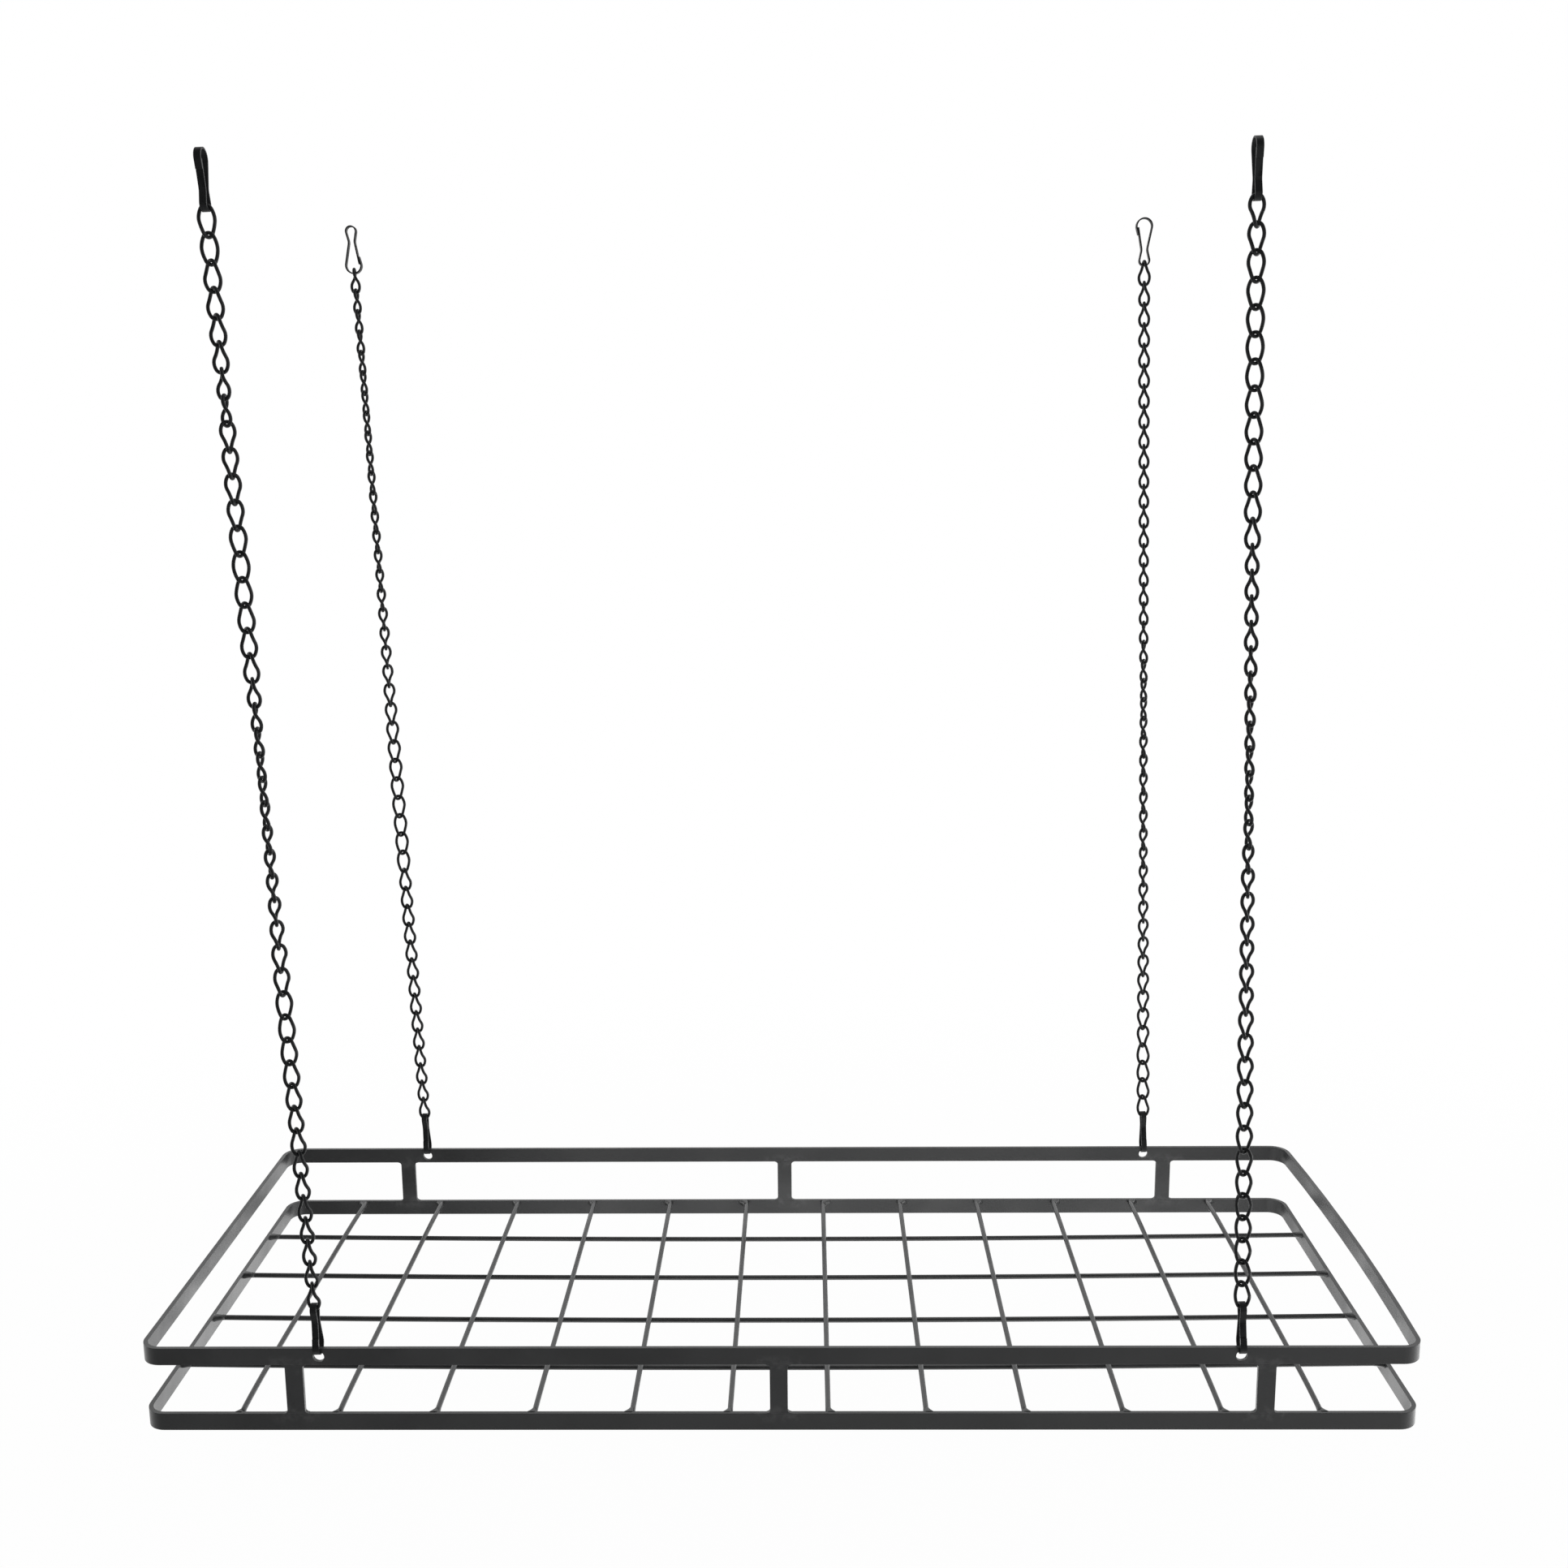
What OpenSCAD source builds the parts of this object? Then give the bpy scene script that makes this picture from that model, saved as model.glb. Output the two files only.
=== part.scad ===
// Hanging pot rack: a welded wire-grid tray with a raised rail, hung at its
// four corners on curb chains with bent-strip spring hooks at both ends.
// +X runs along the tray, +Y to the back and +Z up.  The origin is the middle
// of the four points where the upper hooks hang on their ceiling hooks.

/* [Tray] */
// Length of the tray over its bars
tray_length = 914.4; // [600:0.1:1200]
// Depth of the tray over its bars
tray_depth = 355.6; // [280:0.1:480]
// Height from the bottom edge of the lower ring to the top edge of the upper ring
tray_height = 63.5; // [45:0.1:100]
// Outer radius of the bent corners
corner_radius = 15; // [8:0.5:40]
// Height of the flat bar that both rings are bent from
bar_height = 12.7; // [11:0.1:20]
// Thickness of the flat bar
bar_thickness = 3.2; // [2:0.1:5]
// How far the right short side of the upper ring bows outwards
side_bow = 4.5; // [1:0.1:12]

/* [Posts] */
// Width of a post, cut from the same flat bar
post_width = 12.7; // [8:0.1:20]
// Distance of the outer posts from the middle one
post_spread = 346; // [150:1:500]
// Radius of the weld fillet in the corners of a post
weld_radius = 2.5; // [1:0.1:4]

/* [Grid] */
// Number of rods that run front to back
cross_rods = 12; // [4:1:12]
// Number of rods that run along the tray
long_rods = 4; // [2:1:4]
// Diameter of a grid rod
rod_diameter = 4; // [3:0.1:5]

/* [Chains] */
// Number of links in each chain
chain_links = 45; // [20:1:60]
// Length that each link adds to its chain
link_pitch = 16.55; // [15:0.01:24]
// Outer width of a link
link_width = 12; // [11.4:0.1:16]
// Bend radius of a link's two bows, to the middle of the wire
bow_radius = 3.8; // [3.6:0.1:4.4]
// Diameter of the link wire
wire_diameter = 2.4; // [1.8:0.1:3]
// Twist between the upper and the lower bow of a link
link_twist = 58; // [50:1:75]
// Play between two links
link_play = 0.15; // [0.05:0.01:0.3]
// Distance by which the chains lean to the left over their whole height
chain_lean = 25; // [0:1:60]

/* [Hooks] */
// Overall length of a hook
hook_length = 38.7; // [34:0.1:50]
// Width of the spring strip
strip_width = 4.5; // [3:0.1:5]
// Thickness of the spring strip
strip_thickness = 1.1; // [0.8:0.1:1.4]
// Outer width of the large loop, which has the latch
large_loop = 13.8; // [12:0.1:18]
// Outer width of the small loop
small_loop = 9.3; // [8:0.1:11]
// Outer width of the waist
waist_width = 6; // [5:0.1:7]
// Distance of the waist from the middle of the small loop
waist_distance = 8.6; // [7:0.1:12]
// Bend radius at the waist
waist_radius = 8; // [4:0.1:12]
// Length over which the loop's end laps over the spring arm
latch_lap = 5.5; // [3:0.1:8]
// Gap between the loop's end and the spring arm
latch_gap = 0.15; // [0.1:0.01:0.4]
// Play between a hook and the end link in it
link_seat_play = 0.5; // [0.3:0.01:0.8]

/* [Hook holes] */
// Diameter of the holes in the upper ring
hole_diameter = 8; // [7:0.1:10]
// Distance of the holes from the middle of the tray
hole_spread = 327.5; // [150:0.5:450]
// Play between a lower hook and the top of its hole
hole_play = 0.2; // [0.1:0.01:0.5]

/* [Hidden] */
$fn = 64;

CORNERS = ["front_left", "front_right", "back_left", "back_right"];
POSTS = ["front_left", "front_middle", "front_right", "back_left", "back_middle", "back_right"];

// Which side each corner is on: X, then Y
SIDE = [[-1, -1], [1, -1], [-1, 1], [1, 1]];

// Azimuth of some of the links of each chain, midway between the link's two bows, as
// [link, degrees].  The links between them turn evenly.  Each chain hangs a little
// untwisted, so that its links turn slowly from top to bottom.
LINK_TURNS = [
    [[1, 31], [2, 20], [3, -6], [6, -26], [8, -62], [9, -118], [12, -128], [15, -176],
        [18, -202], [20, -236], [24, -259], [28, -277], [31, -311], [33, -352], [37, -378],
        [45, -400]],
    [[1, 28], [2, 16], [3, 6], [6, -12], [8, -32], [12, -46], [14, -74], [17, -76], [20, -93],
        [24, -102], [27, -133], [32, -143], [35, -160], [45, -202]],
    [[1, 125], [2, 114], [4, 114], [5, 108], [12, 95], [16, 91], [21, 72], [23, 56], [25, 41],
        [31, 22], [32, -24], [45, -36]],
    [[1, 125], [2, 114], [6, 114], [8, 110], [19, 98], [22, 82], [25, 66], [31, 64], [35, 47],
        [41, 22], [42, -26], [45, -36]]
];

// --- derived sizes -------------------------------------------------------

// Chain link: the middle of a leg, from the link's axis, and the radius inside a bow
leg_reach = (link_width - wire_diameter) / 2;
bow_inner = bow_radius - wire_diameter / 2;
// Two bows that cross at a small angle ride up on each other's flanks
flank = pow(sin(link_twist / 2), 2);
nest = 2 * bow_radius * flank > wire_diameter ? wire_diameter
    : 2 * bow_radius - sqrt((1 - flank) * (4 * pow(bow_radius, 2) - pow(wire_diameter, 2) / flank));
link_height = link_pitch + nest + link_play;

// Each leg's upper half is one arc, from the end of the upper bow to the middle of the
// leg.  For a bow that turns by sweep on each side of its top, rate is how far that
// arc's two end directions together reach, over its chord, and slope is the angle at
// which the leg passes its middle.
half_twist = link_twist / 2;
function leg_rate(sweep) =
    cos(sweep) * cos(half_twist) / (leg_reach - bow_radius * sin(sweep) * cos(half_twist));
function leg_slope(sweep) =
    asin(sin(half_twist) * (cos(sweep) + leg_rate(sweep) * bow_radius * sin(sweep)));
function leg_error(sweep) = sin(sweep) + cos(leg_slope(sweep))
    - leg_rate(sweep) * (link_height / 2 - bow_radius * (1 - cos(sweep)));
function leg_sweep(low, high, steps) =
    let (middle = (low + high) / 2)
        steps == 0 ? middle
            : leg_error(middle) < 0 ? leg_sweep(middle, high, steps - 1)
                : leg_sweep(low, middle, steps - 1);
bow_sweep = leg_sweep(20, 85, 40);

// The arc's ends, its directions there, its plane, radius and middle
leg_top = [bow_radius * sin(bow_sweep) * cos(half_twist), -bow_radius * sin(bow_sweep) * sin(half_twist),
    link_height / 2 - bow_radius * (1 - cos(bow_sweep))];
leg_middle = [leg_reach, 0, 0];
top_way = [cos(bow_sweep) * cos(half_twist), -cos(bow_sweep) * sin(half_twist), -sin(bow_sweep)];
middle_way = [0, sin(leg_slope(bow_sweep)), -cos(leg_slope(bow_sweep))];
leg_normal = cross(top_way, middle_way) / norm(cross(top_way, middle_way));
leg_inward = cross(leg_normal, top_way);
leg_turn = acos(top_way * middle_way);
leg_radius = norm(leg_middle - leg_top) / 2 / sin(leg_turn / 2);
leg_centre = leg_top + leg_radius * leg_inward;

// Where two arcs of round wire or rod meet, one is a hair thinner and runs into the other
hair = 0.02;
run_in = 0.1;

// The flat strip rests with its edges on the inside of a bow
strip_half = min(strip_width / 2, bow_inner);
strip_lift = bow_inner - sqrt(pow(bow_inner, 2) - pow(strip_half, 2));
link_seat = wire_diameter / 2 + strip_lift + link_seat_play;

// Stations along a hanger, measured down from its ceiling hook
hook_reach = hook_length - 2 * strip_thickness;
first_bow = hook_reach - link_seat;
last_bow = first_bow + (chain_links - 1) * link_pitch + link_height;
lower_hook_top = last_bow - link_seat;
hanger_length = lower_hook_top + hook_reach;

// The hangers lean as one, and the tray hangs level below them
lean_angle = asin(chain_lean / hanger_length);
drop = hanger_length * cos(lean_angle);

// The bar above a hole rests in the lower hook's loop
loop_inner = large_loop / 2 - strip_thickness;
loop_rise = loop_inner - sqrt(pow(loop_inner, 2) - pow(bar_thickness / 2, 2));
hole_grip = sqrt(pow(hole_diameter / 2, 2) - pow(strip_width / 2, 2)) - loop_rise - hole_play;

// Tray levels
upper_ring_middle = -drop - hole_grip;
upper_ring_bottom = upper_ring_middle - bar_height / 2;
lower_ring_bottom = upper_ring_middle + bar_height / 2 - tray_height;
lower_ring_top = lower_ring_bottom + bar_height;
cross_rod_level = lower_ring_top - rod_diameter / 2;
long_rod_level = cross_rod_level - rod_diameter;

// Each raised end of a long rod is two equal bends, up and level again, which start a
// rod's diameter beyond the outermost cross rod
cross_rod_step = tray_length / (cross_rods + 1);
long_rod_step = tray_depth / (long_rods + 1);
rod_end = tray_length / 2 - bar_thickness;
rod_bend_run = cross_rod_step - bar_thickness - 1.5 * rod_diameter;
rod_bend_angle = 2 * atan(rod_diameter / rod_bend_run);
rod_bend_radius = rod_bend_run / 2 / sin(rod_bend_angle);
bar_line = tray_depth / 2 - bar_thickness / 2;

// Middles of the bent corners
corner_x = tray_length / 2 - corner_radius;
corner_y = tray_depth / 2 - corner_radius;

// Half the angle that the bowed side turns through, and its outer radius
bow_angle = round(2 * atan(side_bow / corner_y) * 10000) / 10000;
bow_side_radius = corner_radius + corner_y / sin(bow_angle);

// --- exact placing -----------------------------------------------------------

// A value rounded to six digits, which is what one move or turn keeps
function six(value) =
    value == 0 ? 0
        : let (unit = pow(10, floor(log(abs(value))) - 5)) round(value / unit) * unit;

// Moves in two steps, a rounded one and the rest, so that bends meet exactly
module shift(way) {
    near = [for (value = way) six(value)];
    translate(near) translate(way - near) children();
}

// Turns about Z in the same two steps
module turn_z(angle) {
    near = atan2(six(sin(angle)), six(cos(angle)));
    rotate([0, 0, angle]) rotate([0, 0, angle - near]) children();
}

// --- tray ------------------------------------------------------------------

// Puts what is drawn about the tray's middle where the tray hangs
module at_tray(level) {
    translate([chain_lean, 0, level]) children();
}

// A length of flat bar on edge along +X, with its outer face on the X axis
module straight_bar(length) {
    cube([length, bar_thickness, bar_height]);
}

// The same bar bent to an arc about the Z axis, from +X towards +Y
module bent_bar(outer_radius, sweep) {
    rotate_extrude(angle = sweep)
        shift([outer_radius - bar_thickness, 0]) square([bar_thickness, bar_height]);
}

// The two corners and the short side at the right-hand end, which bows outwards
module bowed_end() {
    for (flip = [0, 1])
        mirror([0, flip, 0]) {
            translate([corner_x, corner_y, 0])
                rotate([0, 0, 90]) mirror([0, 1, 0]) bent_bar(corner_radius, 90 - bow_angle);
            shift([corner_x - corner_y / tan(bow_angle), 0, 0])
                bent_bar(bow_side_radius, bow_angle, $fn = 3600);
        }
}

// The two corners and the straight short side at the right-hand end
module straight_end() {
    for (flip = [0, 1])
        mirror([0, flip, 0]) translate([corner_x, corner_y, 0]) bent_bar(corner_radius, 90);
    translate([tray_length / 2, -corner_y, 0]) rotate([0, 0, 90]) straight_bar(2 * corner_y);
}

// The front and back long sides
module long_sides() {
    for (turn = [0, 180])
        rotate([0, 0, turn])
            translate([-corner_x, -tray_depth / 2, 0]) straight_bar(2 * corner_x);
}

// Top rail of the tray, drilled for the four lower hooks
module upper_ring() {
    color("#333536")
        at_tray(upper_ring_bottom)
            difference() {
                union() {
                    long_sides();
                    bowed_end();
                    rotate([0, 0, 180]) straight_end();
                }
                for (side = SIDE)
                    translate([side[0] * hole_spread, side[1] * bar_line, bar_height / 2])
                        rotate([90, 0, 0])
                            cylinder(h = 2 * bar_thickness, d = hole_diameter, center = true);
            }
}

// Bottom frame of the tray, which carries the grid
module lower_ring() {
    color("#333536")
        at_tray(lower_ring_bottom) {
            long_sides();
            straight_end();
            rotate([0, 0, 180]) straight_end();
        }
}

// Upright between the rings, flaring into its weld fillets at both ends
module post(place) {
    column = place[0];
    row = place[1];
    height = upper_ring_bottom - lower_ring_top;
    lip = weld_radius / 10;
    color("#343637")
        at_tray(lower_ring_top)
            translate([column * post_spread, row * bar_line + bar_thickness / 2, height / 2])
                rotate([90, 0, 0])
                    linear_extrude(height = bar_thickness)
                        difference() {
                            square([post_width + 2 * weld_radius, height], center = true);
                            for (side = [-1, 1])
                                translate([side * (post_width / 2 + weld_radius), 0])
                                    relief(height - 2 * lip);
                        }
}

// Outline that a post loses on each side, with round ends
module relief(height) {
    for (end = [-1, 1])
        translate([0, end * (height / 2 - weld_radius)]) circle(r = weld_radius);
    square([2 * weld_radius, height - 2 * weld_radius], center = true);
}

// Where each post stands: column along X, row along Y
POST_PLACES = [[-1, -1], [0, -1], [1, -1], [-1, 1], [0, 1], [1, 1]];

// Rod that runs front to back, flush with the top of the lower ring
module cross_rod(number) {
    length = tray_depth - 2 * bar_thickness;
    color("#6e7072")
        at_tray(cross_rod_level)
            translate([(number - (cross_rods + 1) / 2) * cross_rod_step, 0, 0])
                rotate([90, 0, 0]) cylinder(h = length, d = rod_diameter, center = true);
}

// Rod that runs along the tray, just under the cross rods.  Beyond the outermost of
// them both ends rise to the top of the lower ring.
module long_rod(number) {
    color("#3a3c3d")
        at_tray(long_rod_level)
            translate([0, (number - (long_rods + 1) / 2) * long_rod_step, 0]) {
                rotate([0, 90, 0])
                    cylinder(h = 2 * (rod_end - rod_bend_run), d = rod_diameter, center = true);
                for (side = [0, 1]) mirror([side, 0, 0]) raised_end();
            }
}

// The two bends at the right-hand end of a long rod
module raised_end() {
    lead = run_in / rod_bend_radius * 180 / PI;
    translate([rod_end - rod_bend_run, 0, rod_bend_radius])
        rotate([90, 0, 0]) rotate([0, 0, -90 - lead])
            bent_wire(rod_bend_radius, rod_bend_angle + lead, rod_diameter - hair, $fn = 720);
    translate([rod_end, 0, rod_diameter - rod_bend_radius])
        rotate([90, 0, 0]) rotate([0, 0, 90])
            bent_wire(rod_bend_radius, rod_bend_angle + lead, rod_diameter - 2 * hair, $fn = 720);
}

// --- chains ----------------------------------------------------------------

// Puts what is drawn down a hanger, from its ceiling hook along -Z, at a corner
module at_hanger(corner) {
    translate([SIDE[corner][0] * hole_spread, SIDE[corner][1] * bar_line, 0])
        rotate([0, -lean_angle, 0]) children();
}

// A piece of round wire bent about the Z axis, from angle 0 towards +Y
module bent_wire(radius, angle, diameter) {
    rotate_extrude(angle = angle) translate([radius, 0]) circle(d = diameter, $fn = 64);
}

// One closed link, about its middle, with the middles of its legs on the X axis.  A
// half turn about X swaps its bows, and one about Z its legs.
module link() {
    for (flip = [0, 180])
        rotate([flip, 0, 0]) {
            translate([0, 0, link_height / 2 - bow_radius])
                rotate([0, 0, -half_twist]) rotate([90, 0, 0])
                    rotate([0, 0, 90 - bow_sweep]) bent_wire(bow_radius, 2 * bow_sweep, wire_diameter);
            for (side = [0, 180])
                rotate([0, 0, side]) leg_arc(flip == 0 ? hair : 2 * hair);
        }
}

// Upper half of the leg on the right, running into the bow above it and on past its end
module leg_arc(thinning) {
    lead = run_in / leg_radius * 180 / PI;
    multmatrix([
        [-leg_inward[0], top_way[0], leg_normal[0], leg_centre[0]],
        [-leg_inward[1], top_way[1], leg_normal[1], leg_centre[1]],
        [-leg_inward[2], top_way[2], leg_normal[2], leg_centre[2]],
        [0, 0, 0, 1]
    ])
        rotate([0, 0, -lead])
            bent_wire(leg_radius, leg_turn + (thinning > hair ? 2 : 1) * lead, wire_diameter - thinning);
}

// The links of one chain, from number first to number last
module links(corner, first, last) {
    for (number = [first:last])
        translate([0, 0, -first_bow - (number - 1) * link_pitch - link_height / 2])
            rotate([0, 0, lookup(number, LINK_TURNS[corner])]) link();
}

// First link, which swings in the upper hook
module top_link(corner) {
    color("#2c2e2f") at_hanger(corner) links(corner, 1, 1);
}

// All the other links
module chain(corner) {
    color("#2c2e2f") at_hanger(corner) links(corner, 2, chain_links);
}

// --- hooks -----------------------------------------------------------------

// Direction in which a strip leaves one bend for the next, which turns the other
// way.  turn is 1 where the first bend turns left, and -1 where it turns right.
function cross_direction(from, to, radii, turn) =
    let (way = to - from) atan2(way[1], way[0]) + turn * asin(radii / norm(way));
function cross_length(from, to, radii) = sqrt(pow(norm(to - from), 2) - radii * radii);

// A strip bent as a list of [length] and [radius, angle] says, from the origin
// along +X, with its width along Z.  A positive angle turns it to the left.
module bent_strip(run, n = 0) {
    if (n < len(run)) {
        if (len(run[n]) == 1) {
            length = six(run[n][0]);
            translate([0, -strip_thickness / 2, -strip_width / 2])
                cube([length, strip_thickness, strip_width]);
            translate([length, 0, 0]) bent_strip(run, n + 1);
        } else {
            radius = run[n][0];
            hand = sign(run[n][1]);
            angle = six(abs(run[n][1]));
            shift([0, hand * radius, 0])
                mirror([0, hand > 0 ? 0 : 1, 0])
                    rotate([0, 0, -90])
                        rotate_extrude(angle = angle)
                            shift([radius - strip_thickness / 2, -strip_width / 2])
                                square([strip_thickness, strip_width]);
            shift([radius * sin(angle), hand * radius * (1 - cos(angle)), 0])
                turn_z(hand * angle) bent_strip(run, n + 1);
        }
    }
}

// Spring hook in the XY plane: one strip bent round the small loop at the bottom,
// up through the waist and round the large loop, whose end laps over the springy
// arm on the other side.  The small loop's outer edge touches the origin.
module hook() {
    small_r = (small_loop - strip_thickness) / 2;
    large_r = (large_loop - strip_thickness) / 2;
    spring_r = large_r - strip_thickness - latch_gap;
    small_mid = [0, 0];
    waist_mid = [(waist_width - strip_thickness) / 2 + waist_radius, waist_distance];
    large_mid = [0, hook_length - large_loop / 2 - small_loop / 2];
    leave_small = cross_direction(small_mid, waist_mid, small_r + waist_radius, 1);
    leave_waist = cross_direction(waist_mid, large_mid, waist_radius + large_r, -1);
    leave_spring = cross_direction(waist_mid, large_mid, waist_radius + spring_r, -1);
    to_waist = cross_length(small_mid, waist_mid, small_r + waist_radius);
    to_large = cross_length(waist_mid, large_mid, waist_radius + large_r);
    to_spring = cross_length(waist_mid, large_mid, waist_radius + spring_r);
    fixed_side = [[small_r, leave_small], [to_waist], [waist_radius, leave_waist - leave_small],
        [to_large], [large_r, 360 - 2 * leave_waist], [latch_lap]];
    spring_side = [[small_r, leave_small], [to_waist], [waist_radius, leave_spring - leave_small],
        [to_spring]];
    translate([0, strip_thickness / 2, 0]) {
        bent_strip(fixed_side);
        mirror([1, 0, 0]) bent_strip(spring_side);
    }
}

// Hook with its small loop down, its strip's inner face at that end at z = 0
// and the latch on the left
module upright_hook() {
    translate([0, 0, -strip_thickness]) rotate([90, 0, 0]) hook();
}

// Ceiling hook end of each hanger.  The front hooks stand edge on, the back ones
// face the front, and the back left one hangs the other way up.
UPPER_HOOK_TURNS = [90, 90, 0, 0];

module upper_hook(corner) {
    color("#2e3031")
        at_hanger(corner)
            rotate([0, 0, UPPER_HOOK_TURNS[corner]])
                if (CORNERS[corner] == "back_left")
                    rotate([0, 180, 0]) upright_hook();
                else
                    translate([0, 0, -hook_reach]) upright_hook();
}

// Tray end of each hanger, with its large loop through the hole in the upper ring
module lower_hook(corner) {
    color("#2e3031")
        at_hanger(corner)
            translate([0, 0, -lower_hook_top])
                rotate([0, 0, -90]) rotate([0, 180, 0]) upright_hook();
}

// --- every piece ---------------------------------------------------------

upper_ring();
lower_ring();
for (i = [0:len(POSTS) - 1])
    post(POST_PLACES[i]);
for (i = [1:cross_rods])
    cross_rod(i);
for (i = [1:long_rods])
    long_rod(i);
for (i = [0:3]) {
    upper_hook(i);
    top_link(i);
    chain(i);
    lower_hook(i);
}
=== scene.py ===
import bmesh
import bpy
import numpy as np
from mathutils import Matrix, Vector


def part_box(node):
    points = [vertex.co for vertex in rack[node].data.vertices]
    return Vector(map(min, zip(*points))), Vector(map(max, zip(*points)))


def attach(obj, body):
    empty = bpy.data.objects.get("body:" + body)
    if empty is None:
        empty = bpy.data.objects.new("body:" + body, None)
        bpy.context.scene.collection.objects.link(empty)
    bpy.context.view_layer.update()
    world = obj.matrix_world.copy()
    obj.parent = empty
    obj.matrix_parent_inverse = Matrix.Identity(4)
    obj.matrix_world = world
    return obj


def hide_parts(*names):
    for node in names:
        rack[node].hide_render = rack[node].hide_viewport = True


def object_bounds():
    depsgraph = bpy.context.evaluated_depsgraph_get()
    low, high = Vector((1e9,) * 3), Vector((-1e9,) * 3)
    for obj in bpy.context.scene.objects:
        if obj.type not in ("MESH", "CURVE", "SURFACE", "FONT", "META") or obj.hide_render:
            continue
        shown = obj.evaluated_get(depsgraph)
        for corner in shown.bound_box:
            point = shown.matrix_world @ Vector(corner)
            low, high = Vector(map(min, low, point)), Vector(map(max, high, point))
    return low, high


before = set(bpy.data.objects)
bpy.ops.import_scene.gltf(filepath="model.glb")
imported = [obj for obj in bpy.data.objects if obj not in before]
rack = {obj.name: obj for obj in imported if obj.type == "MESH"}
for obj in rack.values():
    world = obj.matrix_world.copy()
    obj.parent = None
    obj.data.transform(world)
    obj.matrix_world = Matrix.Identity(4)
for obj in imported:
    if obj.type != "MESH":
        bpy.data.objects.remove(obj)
cad_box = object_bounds()

# Camera: a 38.5 mm lens on a 36 mm square frame, 1.27 m in front of the tray's middle and
# 0.19 m below the ceiling hooks, tilted down 10.8 degrees.  That place was found from the
# tray's corners, its rods and the ends of the chains.
LENS_MM = 38.5
FRAME_MM = 36
SIGHT_END = 50
TURN, TILT, ROLL = np.radians([0.794, 10.845, -0.474])
TRAY_MIDDLE = Vector((0.025, 0.0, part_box("lower_ring")[1].z))
FROM_TRAY = Vector((0.0224, -1.2692, 0.6669))

sideways = Vector((np.cos(TURN), np.sin(TURN), 0))
level_ahead = Vector((-np.sin(TURN), np.cos(TURN), 0))
ahead = level_ahead * np.cos(TILT) - Vector((0, 0, np.sin(TILT)))
upward = level_ahead * np.sin(TILT) + Vector((0, 0, np.cos(TILT)))
frame_right = sideways * np.cos(ROLL) + upward * np.sin(ROLL)
frame_up = upward * np.cos(ROLL) - sideways * np.sin(ROLL)
turned = Matrix((frame_right, frame_up, -ahead)).transposed().to_4x4()

camera = bpy.data.objects.new("camera", bpy.data.cameras.new("camera"))
camera.data.lens = LENS_MM
camera.data.sensor_width = FRAME_MM
camera.data.clip_end = SIGHT_END
camera.matrix_world = Matrix.Translation(TRAY_MIDDLE + FROM_TRAY) @ turned
bpy.context.scene.collection.objects.link(camera)
bpy.context.scene.camera = camera
bpy.context.scene.view_settings.view_transform = "Standard"

# Studio: a white room, bright behind the rack and at its sides and dim over the camera,
# with a soft box on each side, weak ones above and in front, and a low strip under the
# tray that lifts the faces of the back rails.  The camera sees plain white in its place.
WHITE = (1, 1, 1, 1)
world = bpy.data.worlds.new("studio")
bpy.context.scene.world = world
world.use_nodes = True
walls = world.node_tree.nodes
walls.clear()


def feed(node, inputs):
    """The node, with its sockets set to the numbers and colours or fed by the outputs
    that inputs gives for them."""
    for socket, value in inputs.items():
        if isinstance(value, bpy.types.NodeSocket):
            node.id_data.links.new(value, node.inputs[socket])
        else:
            node.inputs[socket].default_value = value
    return node


def ramp(source, start, end):
    """Output that goes smoothly between two points, each a pair of source and output."""
    step = source.id_data.nodes.new("ShaderNodeMapRange")
    step.interpolation_type = "SMOOTHSTEP"
    feed(step, {"Value": source, "From Min": start[0], "From Max": end[0]})
    feed(step, {"To Min": start[1], "To Max": end[1]})
    return step.outputs["Result"]


def combine(operation, first, *others):
    """Output of Math nodes in a row: the first output with each other output or number."""
    for other in others:
        step = first.id_data.nodes.new("ShaderNodeMath")
        step.operation = operation
        first = feed(step, {0: first, 1: other}).outputs[0]
    return first


look = walls.new("ShaderNodeTexCoord").outputs["Generated"]
toward = feed(walls.new("ShaderNodeSeparateXYZ"), {0: look}).outputs
back_wall = ramp(toward["Y"], (-0.3, 0.1), (0.5, 1.25))
side_walls = ramp(combine("ABSOLUTE", toward["X"], 0), (0.5, 0.1), (0.92, 0.9))
ceiling = ramp(toward["Z"], (0.35, 1.0), (0.95, 0.35))
brightness = combine("MULTIPLY", combine("MAXIMUM", back_wall, side_walls), ceiling)
room = feed(walls.new("ShaderNodeBackground"), {"Color": WHITE, "Strength": brightness})
plain = feed(walls.new("ShaderNodeBackground"), {"Color": WHITE})
to_camera = walls.new("ShaderNodeLightPath").outputs["Is Camera Ray"]
shown = feed(
    walls.new("ShaderNodeMixShader"), {0: to_camera, 1: room.outputs[0], 2: plain.outputs[0]}
)
feed(walls.new("ShaderNodeOutputWorld"), {"Surface": shown.outputs[0]})

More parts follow.
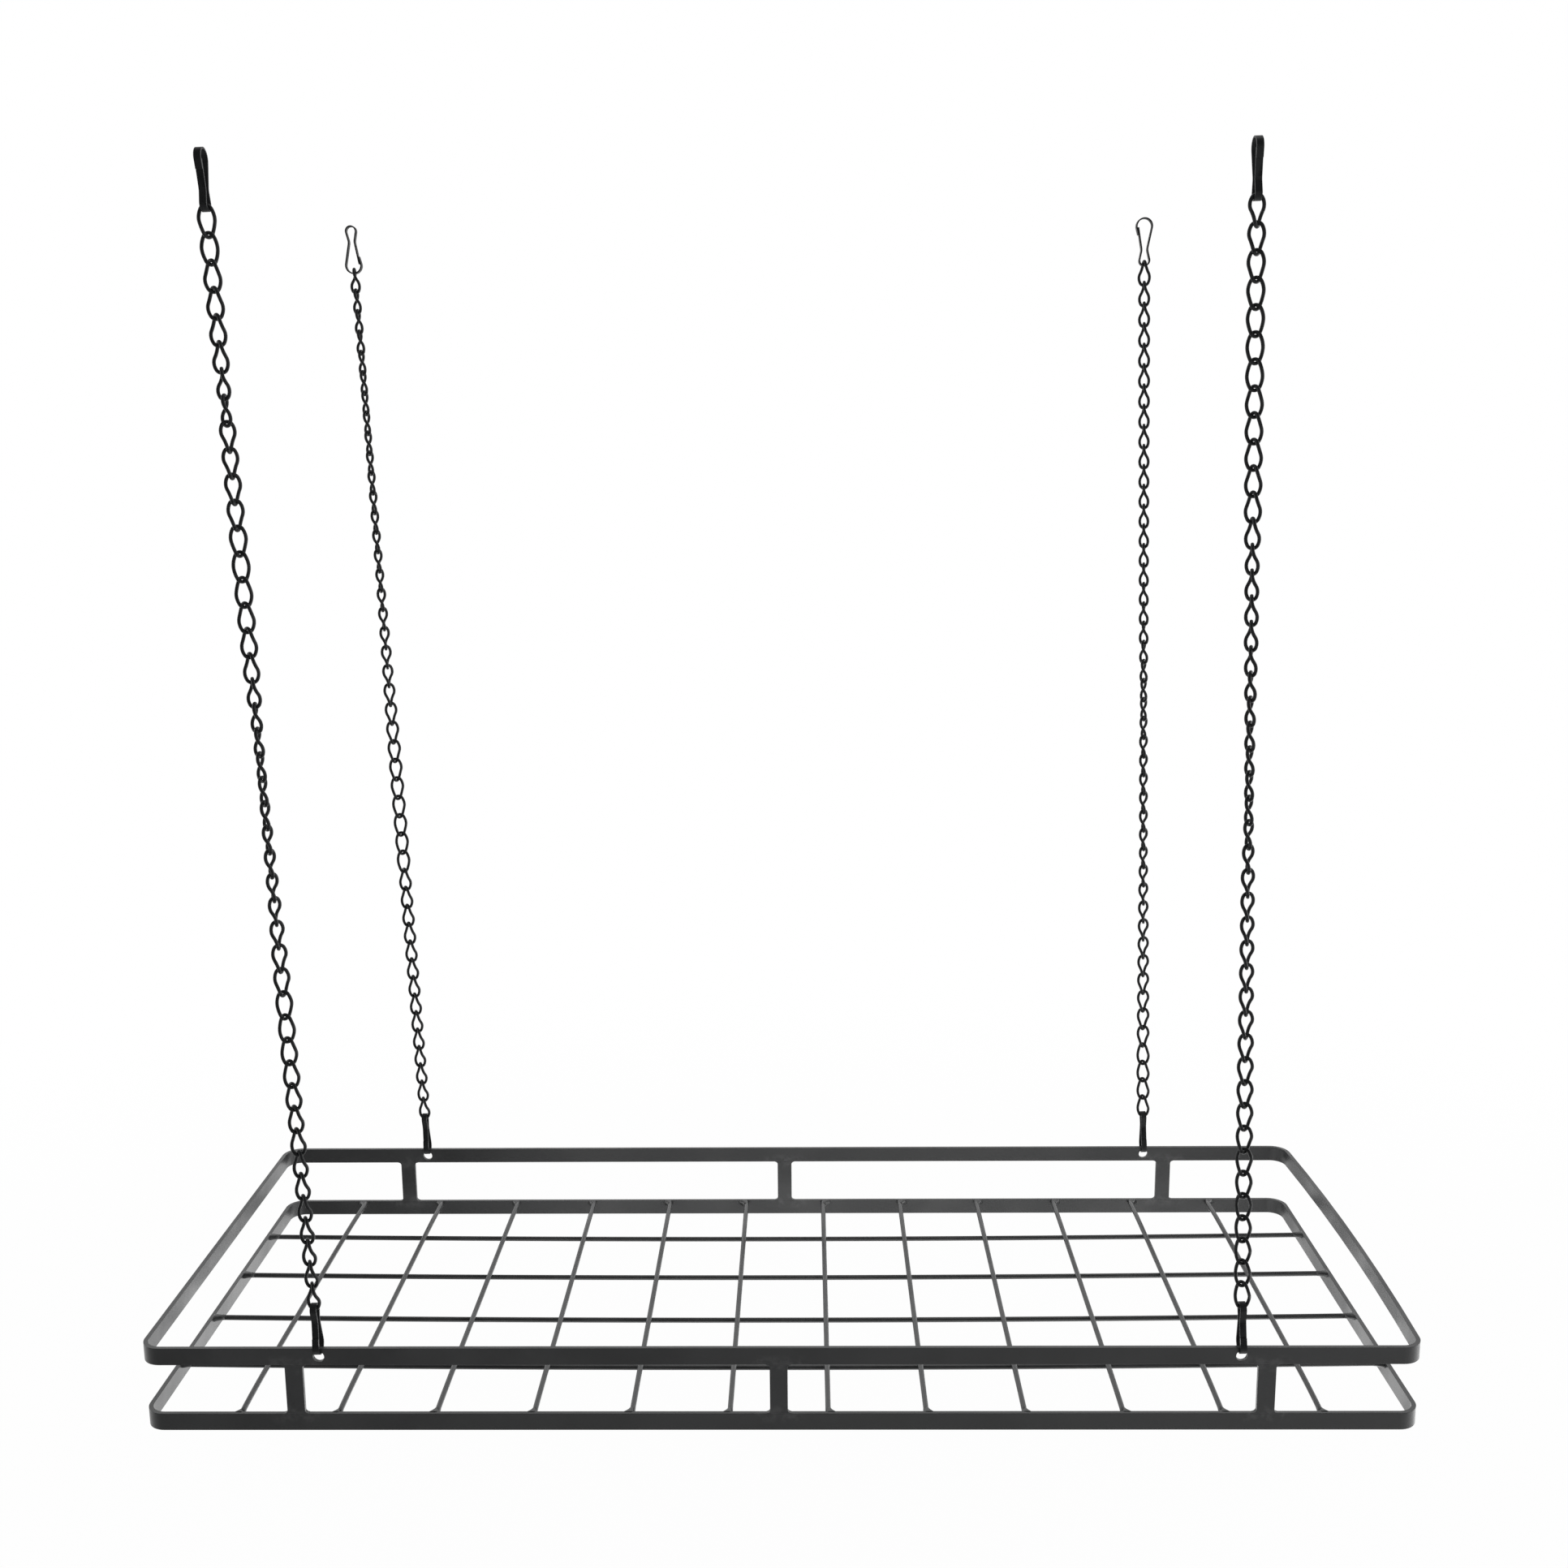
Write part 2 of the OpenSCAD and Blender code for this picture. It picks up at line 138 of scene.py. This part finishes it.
for name, place, aim, size, watts in (
    ("left_soft_box", (-2.3, 0.6, -0.5), (0, 0, -0.7), (2.2, 2.0), 24),
    ("right_soft_box", (2.35, 0.6, -0.5), (0, 0, -0.7), (2.2, 2.0), 26),
    ("top_soft_box", (0.2, 0.2, 1.5), (0, 0, -0.8), (1.4, 1.4), 10),
    ("front_soft_box", (1.6, -2.8, -0.2), (0.2, 0, -0.8), (1.4, 1.2), 9),
    ("low_strip", (0.12, -0.12, -0.99), (0.12, 0.19, -0.85), (0.8, 0.1), 0.5),
):
    lamp = bpy.data.objects.new(name, bpy.data.lights.new(name, "AREA"))
    lamp.data.shape = "RECTANGLE"
    lamp.data.size, lamp.data.size_y = size
    lamp.data.energy = watts
    lamp.location = place
    lamp.rotation_euler = (Vector(aim) - Vector(place)).to_track_quat("-Z", "Y").to_euler()
    lamp.visible_camera = False
    bpy.context.scene.collection.objects.link(lamp)

# Floor: plain white, 0.95 m below the tray.  The camera sees it white with a trace of the
# rack's shadow, and reflections see it bright behind the rack, dim in front and dimmer
# at the left, as the rails of the real rack show.
FLOOR_DROP = 0.95
NEAR, FAR, HALF_WIDTH = -6, 18, 12
FLOOR_GREY = (0.8, 0.8, 0.8, 1)
ground = cad_box[0].z - FLOOR_DROP
corners = ((-HALF_WIDTH, NEAR), (HALF_WIDTH, NEAR), (HALF_WIDTH, FAR), (-HALF_WIDTH, FAR))
floor_mesh = bpy.data.meshes.new("floor")
floor_mesh.from_pydata([(x, y, ground) for x, y in corners], [], [(0, 1, 2, 3)])
floor = bpy.data.objects.new("floor", floor_mesh)
bpy.context.scene.collection.objects.link(floor)

white_floor = bpy.data.materials.new("white_floor")
white_floor.use_nodes = True
paper = white_floor.node_tree.nodes
paper.clear()
place = paper.new("ShaderNodeTexCoord").outputs["Object"]
across = feed(paper.new("ShaderNodeSeparateXYZ"), {0: place}).outputs
from_middle = paper.new("ShaderNodeVectorMath")
from_middle.operation = "LENGTH"
feed(from_middle, {0: place})
front_to_back = ramp(across["Y"], (-1.8, 0.5), (1.4, 2.0))
left_to_right = ramp(across["X"], (-1.3, 0.62), (1.3, 1.5))
far_end = ramp(across["Y"], (1.5, 1.0), (3.0, 0.45))
shadow_fades = ramp(from_middle.outputs["Value"], (1.7, 0.96), (4.5, 1.0))

matt = feed(paper.new("ShaderNodeBsdfDiffuse"), {"Color": FLOOR_GREY})
glow = feed(paper.new("ShaderNodeEmission"), {"Color": WHITE})
mirrored = feed(
    paper.new("ShaderNodeEmission"),
    {"Color": WHITE, "Strength": combine("MULTIPLY", front_to_back, left_to_right, far_end)},
)
ray = paper.new("ShaderNodeLightPath").outputs
to_rack = feed(
    paper.new("ShaderNodeMixShader"),
    {0: ray["Is Glossy Ray"], 1: matt.outputs[0], 2: mirrored.outputs[0]},
)
white_to_camera = combine("MULTIPLY", ray["Is Camera Ray"], shadow_fades)
shown = feed(
    paper.new("ShaderNodeMixShader"),
    {0: white_to_camera, 1: to_rack.outputs[0], 2: glow.outputs[0]},
)
feed(paper.new("ShaderNodeOutputMaterial"), {"Surface": shown.outputs[0]})
floor.data.materials.append(white_floor)

# Flat-bar rings and posts: mild steel bar on edge under a thin satin black coat with a
# faint orange peel, in patches a little duller, and rubbed paler along its edges.
BEVEL_SAMPLES = 4
SCUFFS_PER_M = 210
coat = bpy.data.node_groups.new("black_coat", "ShaderNodeTree")
for socket, kind, value in (
    ("Coat", "NodeSocketColor", (0.03, 0.031, 0.032, 1)),
    ("Rubbed", "NodeSocketColor", (0.12, 0.12, 0.12, 1)),
    ("Roughness", "NodeSocketFloat", 0.4),
    ("Patches Per Metre", "NodeSocketFloat", 18.0),
    ("Peel Per Metre", "NodeSocketFloat", 700.0),
    ("Peel Height", "NodeSocketFloat", 0.00004),
    ("Edge Width", "NodeSocketFloat", 0.0006),
    ("Wear", "NodeSocketFloat", 0.5),
):
    coat.interface.new_socket(socket, in_out="INPUT", socket_type=kind).default_value = value
for socket, kind in (
    ("Color", "NodeSocketColor"),
    ("Roughness", "NodeSocketFloat"),
    ("Normal", "NodeSocketVector"),
):
    coat.interface.new_socket(socket, in_out="OUTPUT", socket_type=kind)


def mottle(where, per_metre, detail, roughness):
    """Noise at the coordinates where, with this many cells to the metre."""
    noise = where.id_data.nodes.new("ShaderNodeTexNoise")
    feed(noise, {"Vector": where, "Scale": per_metre, "Detail": detail, "Roughness": roughness})
    return noise.outputs["Fac"]


def blended(share, first, second):
    """Colour that goes from first to second as share goes from 0 to 1."""
    mix = share.id_data.nodes.new("ShaderNodeMix")
    mix.data_type = "RGBA"
    return feed(mix, {"Factor": share, "A": first, "B": second}).outputs["Result"]


given = coat.nodes.new("NodeGroupInput").outputs
where = coat.nodes.new("ShaderNodeTexCoord").outputs["Object"]
patches = mottle(where, given["Patches Per Metre"], 5, 0.5)
peel = mottle(where, given["Peel Per Metre"], 2, 0.5)
scuffs = mottle(where, SCUFFS_PER_M, 6, 0.7)
# an edge is where the surface rounded over the edge's width differs from the flat one
rounded = feed(coat.nodes.new("ShaderNodeBevel"), {"Radius": given["Edge Width"]})
rounded.samples = BEVEL_SAMPLES
flat = coat.nodes.new("ShaderNodeNewGeometry").outputs["Normal"]
likeness = coat.nodes.new("ShaderNodeVectorMath")
likeness.operation = "DOT_PRODUCT"
feed(likeness, {0: rounded.outputs["Normal"], 1: flat})
edge = ramp(likeness.outputs["Value"], (0.75, 1.0), (0.98, 0.0))
worn = combine("MULTIPLY", edge, ramp(scuffs, (0.38, 0.0), (0.62, 1.0)), given["Wear"])
uneven = ramp(patches, (0.3, 0.8), (0.7, 1.2))
toned = coat.nodes.new("ShaderNodeVectorMath")
toned.operation = "SCALE"
feed(toned, {0: given["Coat"], "Scale": uneven})
skin = feed(
    coat.nodes.new("ShaderNodeBump"),
    {"Strength": 1.0, "Distance": given["Peel Height"], "Height": peel},
)
feed(skin, {"Normal": rounded.outputs["Normal"]})
feed(
    coat.nodes.new("NodeGroupOutput"),
    {
        "Color": blended(worn, toned.outputs["Vector"], given["Rubbed"]),
        "Roughness": combine("MULTIPLY", given["Roughness"], uneven),
        "Normal": skin.outputs["Normal"],
    },
)


def coated(name, values, shine=0.5):
    """Material of the black coat with these values, whose reflections are as strong as
    shine says (0.5 is a clear coat's)."""
    material = bpy.data.materials.new(name)
    material.use_nodes = True
    layer = material.node_tree.nodes.new("ShaderNodeGroup")
    layer.node_tree = coat
    out = feed(layer, values).outputs
    surface = material.node_tree.nodes["Principled BSDF"]
    feed(surface, {"IOR": 1.5, "Specular IOR Level": shine})
    feed(surface, {"Base Color": out["Color"], "Roughness": out["Roughness"]})
    feed(surface, {"Normal": out["Normal"]})
    return material


def dress(material, names):
    """Gives the CAD nodes of these names their material."""
    for name in names:
        rack[name].data.materials.clear()
        rack[name].data.materials.append(material)


bar_coat = coated(
    "satin_black_bar",
    {
        "Coat": (0.032, 0.033, 0.034, 1),
        "Roughness": 0.42,
        "Peel Height": 0.000012,
        "Wear": 0.35,
    },
)

# where a post meets a ring the seam was ground flush before coating, and the coat is
# blotched paler there: within about 20 mm of a post's middle and 9 mm of the seam
BLOTCHES_PER_M = 130
PALE_COAT = (0.085, 0.086, 0.087, 1)
where = bar_coat.node_tree.nodes.new("ShaderNodeTexCoord").outputs["Object"]
axes = feed(bar_coat.node_tree.nodes.new("ShaderNodeSeparateXYZ"), {0: where}).outputs


def nearest(coordinate, places):
    """Distance from a coordinate to the nearest of these places on its axis."""
    away = [combine("ABSOLUTE", combine("SUBTRACT", coordinate, spot), 0) for spot in places]
    return combine("MINIMUM", *away)


posts = [sum(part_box("post_front_" + side), Vector()).x / 2 for side in ("left", "middle", "right")]
seams = (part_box("lower_ring")[1].z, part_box("upper_ring")[0].z)
blotch = combine(
    "MULTIPLY",
    ramp(nearest(axes["X"], posts), (0.012, 1.0), (0.022, 0.0)),
    ramp(nearest(axes["Z"], seams), (0.002, 1.0), (0.009, 0.0)),
    ramp(mottle(where, BLOTCHES_PER_M, 4, 0.6), (0.4, 0.0), (0.65, 0.6)),
)
bar_surface = bar_coat.node_tree.nodes["Principled BSDF"]
plain_coat = bar_surface.inputs["Base Color"].links[0].from_socket
feed(bar_surface, {"Base Color": blended(blotch, plain_coat, PALE_COAT)})
dress(bar_coat, ["upper_ring", "lower_ring"] + [name for name in rack if name.startswith("post_")])

# Grid: 4 mm round rods under the same coat, a little smoother than the bars.  The long
# ones hang in a shallow bow from the ends of the lower ring, and the cross rods lie on
# them, sunk in by the spot welds, all with their ends flush with the ring's top edge.
BAR_THICKNESS = 0.0032
ROD_RADIUS = 0.002
BOW = 0.0031
SUNK = 0.0006
LONG_RINGS, CROSS_RINGS, ROD_CORNERS = 81, 61, 24
UP = np.array((0.0, 0.0, 1.0))
ring_low, ring_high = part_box("lower_ring")
tray_middle = (ring_low + ring_high) / 2
inner = ring_high - tray_middle - Vector((BAR_THICKNESS, BAR_THICKNESS, 0))
rod_top = ring_high.z - ROD_RADIUS
cross_rods = sorted(name for name in rack if name.startswith("cross_rod_"))
long_rods = sorted(name for name in rack if name.startswith("long_rod_"))
middles = {name: sum(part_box(name), Vector()) / 2 for name in cross_rods + long_rods}
rod_coat = coated(
    "black_rod",
    {
        "Coat": (0.036, 0.037, 0.038, 1),
        "Roughness": 0.36,
        "Patches Per Metre": 30.0,
        "Peel Height": 0.000008,
        "Wear": 0.0,
    },
)


def long_level(x):
    """Height of a long rod's centre: below its ends by the bow times one minus the square
    of the part of the way from the tray's middle to its end."""
    return rod_top - BOW * (1 - ((x - tray_middle.x) / inner.x) ** 2)


def cross_level(x, y):
    """Height of a cross rod's centre: above its ends, to lie on the long rods, by that
    lift times one minus the sixth power of the part of the way out."""
    lift = long_level(x) + 2 * ROD_RADIUS - SUNK - rod_top
    return rod_top + lift * (1 - ((y - tray_middle.y) / inner.y) ** 6)


def tube_piece(name, points):
    """Piece of like closed tubes, points[tube, ring, corner, xyz]: rings are joined in
    order, corner to corner, and the first and last ones are capped."""
    tubes, rings, corners, _ = points.shape
    number = np.arange(tubes * rings * corners).reshape(tubes, rings, corners)
    beside = np.roll(number, -1, axis=2)
    sides = np.stack((number[:, :-1], beside[:, :-1], beside[:, 1:], number[:, 1:]), axis=-1)
    caps = number[:, 0, ::-1].tolist() + number[:, -1].tolist()
    mesh = bpy.data.meshes.new(name)
    mesh.from_pydata(points.reshape(-1, 3).tolist(), [], sides.reshape(-1, 4).tolist() + caps)
    mesh.polygons.foreach_set("use_smooth", [True] * len(mesh.polygons))
    piece = bpy.data.objects.new(name, mesh)
    bpy.context.scene.collection.objects.link(piece)
    return piece


def rod(name, x, y, z, across):
    """Round rod along these centres, which stands for the CAD rod of that name: that one
    is straight, with a jog at its ends if it is long.  A ring of it is the centre plus
    the radius times (cosine across + sine up)."""
    centres = np.stack(np.broadcast_arrays(x, y, z), axis=-1)
    turn = np.linspace(0, 2 * np.pi, ROD_CORNERS, endpoint=False)[:, None]
    circle = ROD_RADIUS * (np.cos(turn) * np.array(across) + np.sin(turn) * UP)
    piece = tube_piece("bowed_" + name, (centres[:, None, :] + circle)[None])
    piece.data.materials.append(rod_coat)
    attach(piece, "tray")
    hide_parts(name)


for name in long_rods:
    x = tray_middle.x + inner.x * np.linspace(-1, 1, LONG_RINGS)
    rod(name, x, middles[name].y, long_level(x), across=(0.0, 1.0, 0.0))
for name in cross_rods:
    x, y = middles[name].x, tray_middle.y + inner.y * np.linspace(-1, 1, CROSS_RINGS)
    rod(name, x, y, cross_level(x, y), across=(-1.0, 0.0, 0.0))

# Welds of the grid: a bead holds each end of a cross rod to the lower ring's inner face,
# drawn out into a web towards the nearer end of the tray, and a longer one each end of a
# long rod.  Where two rods cross they are spot welded.
HAIR = 0.00003
DRESSED_HEIGHT = 0.0003
LUMPS = 0.1
BEAD_CORNERS = 20
BEAD_RINGS = np.array([-0.1, 0.0, 0.12, 0.3, 0.6, 1.0])
chance = np.random.default_rng(7)


def rod_end_beads(name, ends, reach, flare, climb):
    """A bead round each rod end, ends giving its root, the way along the rod and its
    lean.  At the part s of its reach the outline is the rod's own circle, a hair wider,
    and swollen by flare sideways and climb upwards times (1 - s) to the power 1.5.  It is
    pushed to one side by lean times flare, and dressed level just above the rod's top."""
    roots, along, lean = (np.array(column) for column in zip(*ends))
    roots, along = roots[:, None, None], along[:, None, None]
    lean = lean[:, None, None]
    s = BEAD_RINGS[None, :, None]
    turn = np.linspace(0, 2 * np.pi, BEAD_CORNERS, endpoint=False)[None, None, :]
    swell = np.clip(1 - s, 0, 1) ** 1.5
    size = chance.uniform(0.85, 1.15, lean.shape)
    lumps = 1 + LUMPS * np.cos(2 * turn + chance.uniform(0, 6.3, lean.shape)) * swell
    up = np.where(np.sin(turn) > 0, climb, 0.5 * flare) * size * swell
    side = (ROD_RADIUS + HAIR + flare * size * swell) * lumps * np.cos(turn)
    side = side + lean * flare * size * swell
    level = (ROD_RADIUS + HAIR + up) * np.sin(turn)
    dressed = ROD_RADIUS + DRESSED_HEIGHT * swell + HAIR * np.cos(3 * turn)
    out = along * (s * reach * size)[..., None] + np.cross(UP, along) * side[..., None]
    return tube_piece(name, roots + out + UP * np.minimum(level, dressed)[..., None])


ends = []
for name in cross_rods:
    outward = 1 if middles[name].x > tray_middle.x else -1
    for end in (-1, 1):
        root = (middles[name].x, tray_middle.y + end * inner.y, rod_top)
        ends.append((root, (0, -end, 0), end * outward * chance.uniform(0.75, 1.0)))
cross_beads = rod_end_beads("cross_rod_welds", ends, reach=0.0065, flare=0.0024, climb=0.0006)
ends = []
for name in long_rods:
    for end in (-1, 1):
        root = (tray_middle.x + end * inner.x, middles[name].y, rod_top)
        ends.append((root, (-end, 0, 0), chance.uniform(-0.5, 0.5)))
long_beads = rod_end_beads("long_rod_welds", ends, reach=0.008, flare=0.0018, climb=0.001)

# spot welds: a neck between two rods, round in plan, whose radius at the part t of its
# height is narrowest at the contact and grows with t squared towards both rods
NECK, NECK_FLARE, NECK_HALF_HEIGHT = 0.0014, 0.0004, 0.0008
NECK_RINGS, NECK_CORNERS = 6, 12
x, y = np.array([(middles[a].x, middles[b].y) for a in cross_rods for b in long_rods]).T
contact = (long_level(x) + cross_level(x, y)) / 2
x, y, contact = (centre[:, None, None] for centre in (x, y, contact))
t = np.linspace(-1, 1, NECK_RINGS)[None, :, None]
turn = np.linspace(0, 2 * np.pi, NECK_CORNERS, endpoint=False)[None, None, :]
radius = (NECK + NECK_FLARE * t**2) * chance.uniform(0.85, 1.1, x.shape)
neck = (x + radius * np.cos(turn), y + radius * np.sin(turn), contact + NECK_HALF_HEIGHT * t)
spot_welds = tube_piece("spot_welds", np.stack(np.broadcast_arrays(*neck), axis=-1))
for piece in (cross_beads, long_beads, spot_welds):
    piece.data.materials.append(rod_coat)
    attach(piece, "tray")

# Chains: curb chain of twisted, butted wire links, black all over.  A chain is shown by a
# copy with its doubles merged and its triangles thinned to under 200,000.
MERGED_WITHIN = 1e-6
KEPT_SHARE = 0.7
link_coat = coated(
    "black_chain_wire",
    {
        "Coat": (0.019, 0.02, 0.021, 1),
        "Roughness": 0.42,
        "Patches Per Metre": 90.0,
        "Peel Height": 0.00002,
        "Wear": 0.0,
    },
    shine=0.12,
)
dress(link_coat, [name for name in rack if name.startswith("top_link_")])
for name in [name for name in rack if name.startswith("chain_")]:
    joined = bmesh.new()
    joined.from_mesh(rack[name].data)
    bmesh.ops.remove_doubles(joined, verts=joined.verts, dist=MERGED_WITHIN)
    mesh = bpy.data.meshes.new("wire_" + name)
    joined.to_mesh(mesh)
    joined.free()
    mesh.polygons.foreach_set("use_smooth", [True] * len(mesh.polygons))
    mesh.materials.append(link_coat)
    piece = bpy.data.objects.new("wire_" + name, mesh)
    bpy.context.scene.collection.objects.link(piece)
    piece.modifiers.new("thinned", "DECIMATE").ratio = KEPT_SHARE
    seen = bpy.context.evaluated_depsgraph_get()
    piece.data = bpy.data.meshes.new_from_object(piece.evaluated_get(seen))
    piece.modifiers.clear()
    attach(piece, name)
    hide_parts(name)

# Spring hooks: flat spring strip bent into two loops and blackened, paler on its
# stamped edges.
strip_coat = coated(
    "black_spring_strip",
    {
        "Coat": (0.02, 0.021, 0.022, 1),
        "Roughness": 0.42,
        "Patches Per Metre": 60.0,
        "Peel Height": 0.00002,
        "Edge Width": 0.0003,
        "Wear": 0.5,
    },
    shine=0.12,
)
dress(strip_coat, [name for name in rack if "_hook_" in name])
